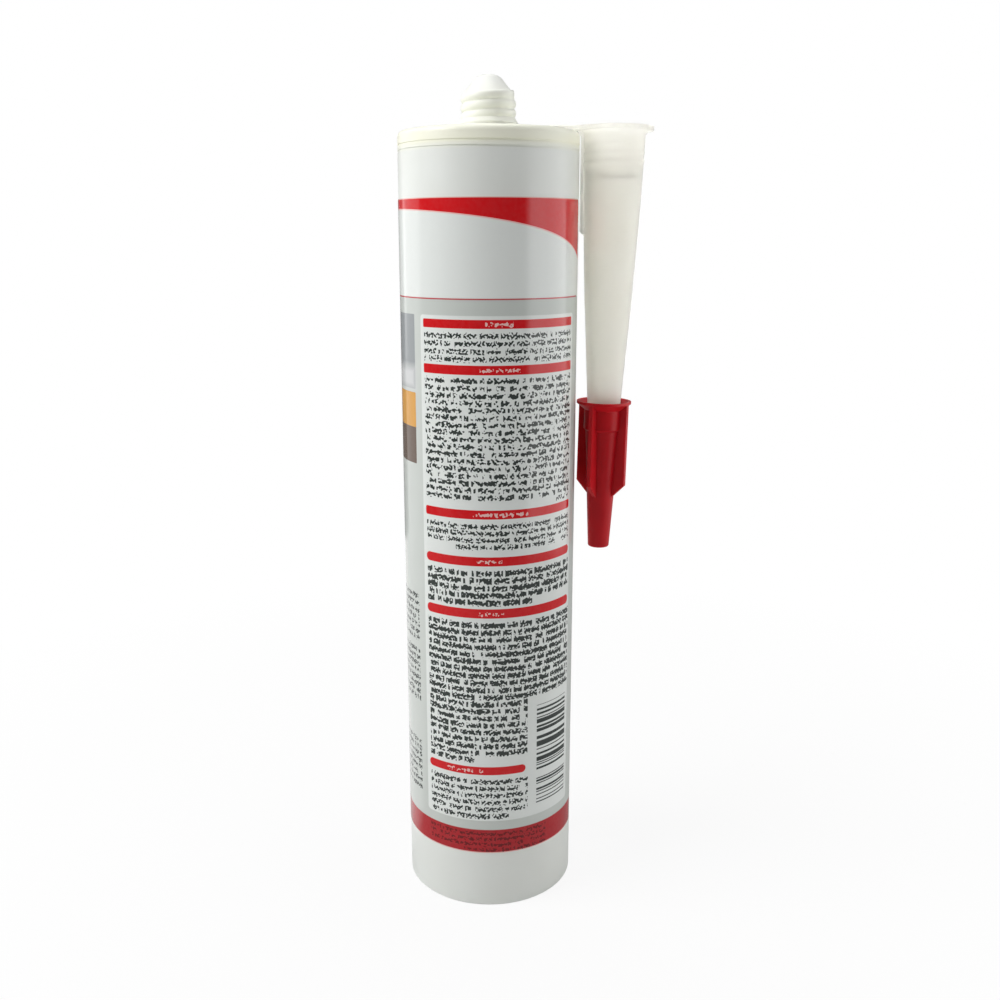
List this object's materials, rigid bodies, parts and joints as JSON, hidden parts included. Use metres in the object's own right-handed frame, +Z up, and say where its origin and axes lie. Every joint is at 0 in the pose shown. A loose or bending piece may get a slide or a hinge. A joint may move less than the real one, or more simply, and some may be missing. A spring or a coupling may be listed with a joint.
{
  "type": "sealant cartridge with hanging nozzle",
  "caption": "Upright plastic caulk cartridge with a closed threaded neck, a sliding plunger behind the paste, and a capped nozzle hanging beside it from a flat ring.",
  "frame": {"origin": "centre of the open rear rim, on the tube's axis, at the surface it stands on", "axes": "+Z up the tube to the neck, +X from the tube's axis to the hanging nozzle"},
  "size_m": [0.0698, 0.0498, 0.2355],
  "materials": {
    "barrel_plastic": "natural white polyethylene, soft gloss",
    "label_film": "printed film, soft gloss",
    "plunger_plastic": "natural polyethylene, satin",
    "paste": "smooth white paste",
    "nozzle_plastic": "translucent natural polyethylene, satin",
    "cap_plastic": "red polyethylene, soft gloss"
  },
  "bodies": {
    "barrel": {"cartridge": "barrel_plastic", "label": "label_film", "sealant": "paste"},
    "piston": {"plunger": "plunger_plastic"},
    "spout": {"nozzle": "nozzle_plastic"},
    "tip_cap": {"nozzle_cap": "cap_plastic"}
  },
  "joints": [
    {"name": "plunger_slide", "type": "slide", "parent": "barrel", "child": "piston", "axis": [0, 0, 1], "range_m": [0, 0.184], "deforming": ["sealant"]},
    {"name": "nozzle_swivel", "type": "hinge", "parent": "barrel", "child": "spout", "pos_m": [0, 0, 0.2215], "axis": [0, 0, 1], "continuous": true},
    {"name": "cap_pull", "type": "slide", "parent": "spout", "child": "tip_cap", "axis": [0, 0, -1], "range_m": [0, 0.042]}
  ]
}
